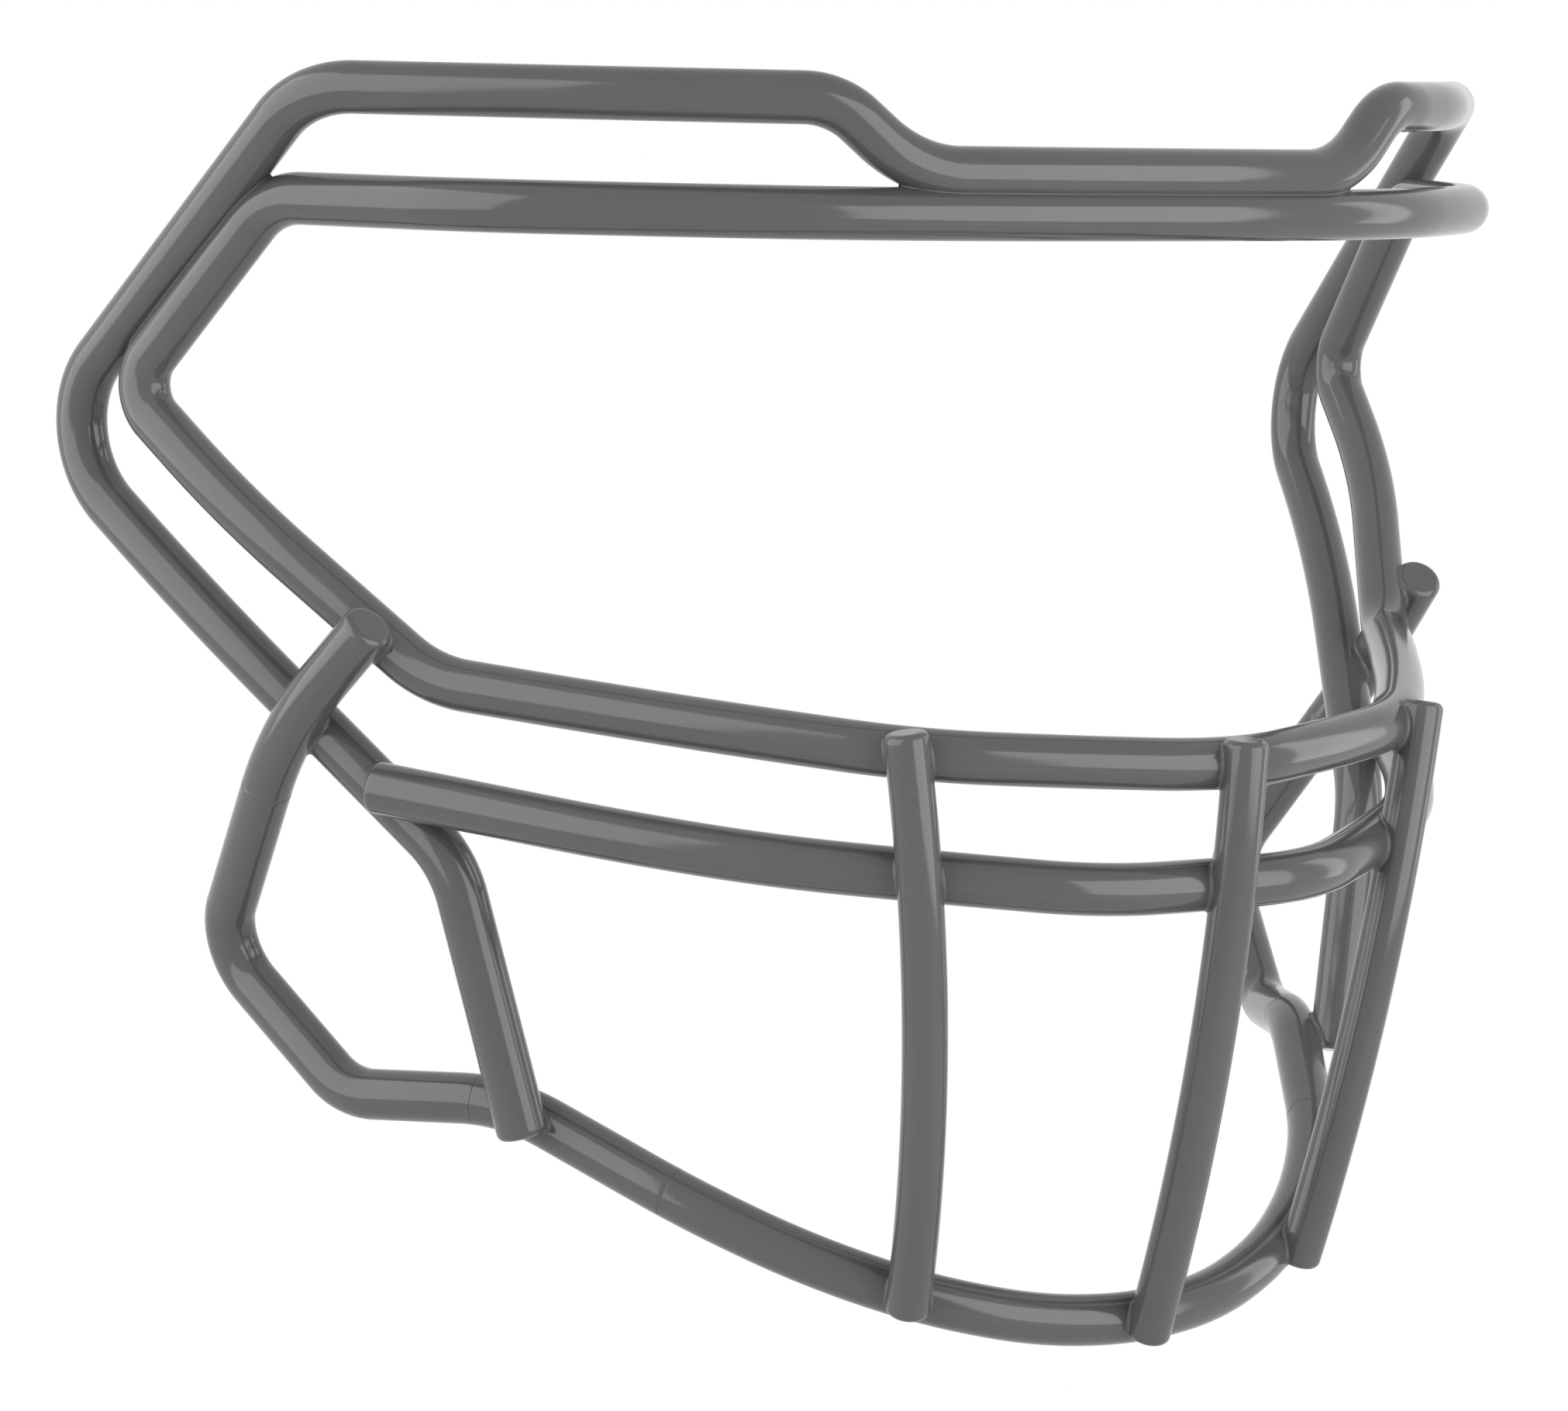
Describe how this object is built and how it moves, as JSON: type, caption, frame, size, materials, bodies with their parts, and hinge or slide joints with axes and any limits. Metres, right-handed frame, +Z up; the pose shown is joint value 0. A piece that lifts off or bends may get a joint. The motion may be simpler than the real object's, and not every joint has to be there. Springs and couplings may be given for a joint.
{
  "type": "football helmet face guard",
  "caption": "Welded wire face guard with an open eye loop, a dipped outer frame, a lower front bar, jaw hooks, a chin bar and bowed uprights.",
  "frame": {"origin": "on the centre plane, where the twin brow bars meet, inside the brow clip's seat", "axes": "+Z up, the guard faces -Y, +X towards the wearer's left; the guard is symmetric about X = 0"},
  "size_m": [0.2272, 0.13, 0.1762],
  "materials": {
    "bar_coat": "satin grey powder coat",
    "weld_coat": "satin grey powder coat over weld beads"
  },
  "bodies": {
    "root": {"brow_weld_left": "weld_coat", "brow_weld_right": "weld_coat", "center_chin_weld": "weld_coat", "center_eye_weld": "weld_coat", "center_lower_weld": "weld_coat", "center_upright": "bar_coat", "chin_bar": "bar_coat", "drop_weld_left": "weld_coat", "drop_weld_right": "weld_coat", "eye_loop_bar": "bar_coat", "hook_eye_weld_left": "weld_coat", "hook_eye_weld_right": "weld_coat", "hook_frame_weld_left": "weld_coat", "hook_frame_weld_right": "weld_coat", "jaw_hook_left": "bar_coat", "jaw_hook_right": "bar_coat", "jaw_link_left": "bar_coat", "jaw_link_right": "bar_coat", "lower_bar_weld_left": "weld_coat", "lower_bar_weld_right": "weld_coat", "lower_front_bar": "bar_coat", "outer_frame_bar": "bar_coat", "side_chin_weld_left": "weld_coat", "side_chin_weld_right": "weld_coat", "side_eye_weld_left": "weld_coat", "side_eye_weld_right": "weld_coat", "side_lower_weld_left": "weld_coat", "side_lower_weld_right": "weld_coat", "side_upright_left": "bar_coat", "side_upright_right": "bar_coat", "side_weld_left": "weld_coat", "side_weld_right": "weld_coat"}
  },
  "joints": []
}
